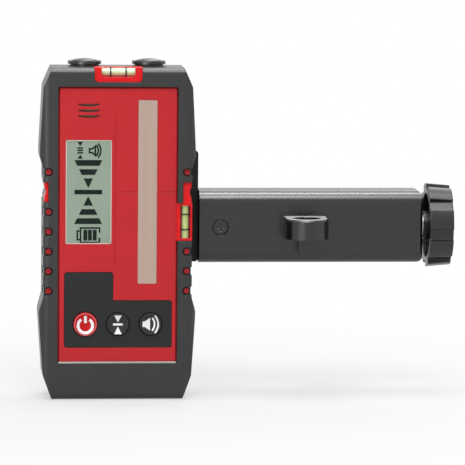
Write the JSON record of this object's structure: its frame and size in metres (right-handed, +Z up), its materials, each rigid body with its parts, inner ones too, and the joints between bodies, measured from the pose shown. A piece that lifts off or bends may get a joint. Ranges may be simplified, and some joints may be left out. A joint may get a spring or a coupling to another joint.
{
  "type": "laser receiver",
  "caption": "Handheld laser receiver with display, detector window and keypad in a rubber bumper, on a rod clamp with a sliding jaw and lobed knob.",
  "frame": {"origin": "middle of the flat base of the receiver", "axes": "+X to the right towards the knob, +Y to the back, +Z up; the display faces -Y"},
  "size_m": [0.2089, 0.0676, 0.1688],
  "materials": {
    "rubber_grey": "fine satin rubber",
    "rubber_black": "matte",
    "red_plastic": "fine moulded texture",
    "black_plastic": "satin moulded texture",
    "keypad_black": "satin overlay",
    "button_red": "silicone satin",
    "button_black": "silicone satin",
    "display_lens": "clear",
    "display_glass": "grey-green liquid crystal",
    "backlight_white": "diffuse",
    "detector_beige": "frosted",
    "board_green": "solder mask",
    "chip_black": "matte",
    "steel": "zinc plated",
    "brass": "turned",
    "cell_wrap": "plain wrap",
    "vial_clear": "clear acrylic",
    "spirit_yellow": "liquid",
    "nylon_white": "plain"
  },
  "bodies": {
    "receiver": {"bumper": "rubber_grey", "front_shell": "red_plastic", "rear_shell": "black_plastic", "shell_seal": "rubber_black", "case_screws": "steel", "lcd_lens": "display_lens", "lcd_glass": "display_glass", "lcd_backlight": "backlight_white", "detector_window": "detector_beige", "detector_board": "board_green", "photodiodes": "chip_black", "keypad_panel": "keypad_black", "main_board": "board_green", "board_screws": "steel", "tact_switches": "steel", "board_components": "chip_black", "sounder": "chip_black", "sounder_mesh": "rubber_black", "door_seal": "rubber_black", "cells": "cell_wrap", "cell_contacts": "steel", "top_cradle": "red_plastic", "top_vial": "vial_clear", "top_spirit": "spirit_yellow", "side_cradle": "red_plastic", "side_vial": "vial_clear", "side_spirit": "spirit_yellow", "vial_rings": "rubber_black", "left_mark": "red_plastic", "magnet_cups": "black_plastic", "magnets": "steel", "threaded_insert": "brass", "mount_plate": "black_plastic", "arm_screw": "steel", "clamp_arm": "black_plastic", "thrust_washer": "steel", "fixed_pad": "rubber_black", "round_level": "vial_clear", "level_spirit": "spirit_yellow"},
    "power_key": {"power_button": "button_red"},
    "band_key": {"band_button": "button_black"},
    "sound_key": {"sound_button": "button_black"},
    "battery_flap": {"battery_door": "black_plastic"},
    "knob_set": {"lead_screw": "steel", "clamp_knob": "black_plastic", "knob_cap": "black_plastic", "retaining_clip": "steel"},
    "jaw_set": {"sliding_jaw": "black_plastic", "jaw_nut": "brass", "sliding_pad": "rubber_black"},
    "thumb_ring": {"captive_washer": "nylon_white"},
    "thumb_set": {"thumb_screw": "black_plastic"}
  },
  "joints": [
    {"name": "power_press", "type": "slide", "parent": "receiver", "child": "power_key", "axis": [0, 1, 0], "range_m": [0, 0.0008], "stiffness_N_per_m": 600},
    {"name": "band_press", "type": "slide", "parent": "receiver", "child": "band_key", "axis": [0, 1, 0], "range_m": [0, 0.0008], "stiffness_N_per_m": 600},
    {"name": "sound_press", "type": "slide", "parent": "receiver", "child": "sound_key", "axis": [0, 1, 0], "range_m": [0, 0.0008], "stiffness_N_per_m": 600},
    {"name": "door_swing", "type": "hinge", "parent": "receiver", "child": "battery_flap", "pos_m": [0, 0.0126, 0.0095], "axis": [-1, 0, 0], "range_deg": [0, 100]},
    {"name": "knob_turn", "type": "hinge", "parent": "receiver", "child": "knob_set", "pos_m": [0.1637, 0.018, 0.08385], "axis": [1, 0, 0], "range_deg": [-3060, 1980]},
    {"name": "jaw_slide", "type": "slide", "parent": "receiver", "child": "jaw_set", "axis": [1, 0, 0], "range_m": [-0.034, 0.022]},
    {"name": "thumb_back", "type": "slide", "parent": "receiver", "child": "thumb_ring", "axis": [0, 1, 0], "range_m": [0, 0.005]},
    {"name": "thumb_turn", "type": "hinge", "parent": "thumb_ring", "child": "thumb_set", "pos_m": [0, 0.028, 0.09565], "axis": [0, 1, 0], "range_deg": [0, 1430]}
  ],
  "couplings": [
    {"joint": "jaw_slide", "follows": "knob_turn", "m_per_rad": 0.00063662},
    {"joint": "thumb_turn", "follows": "thumb_back", "rad_per_m": 4947.4}
  ]
}
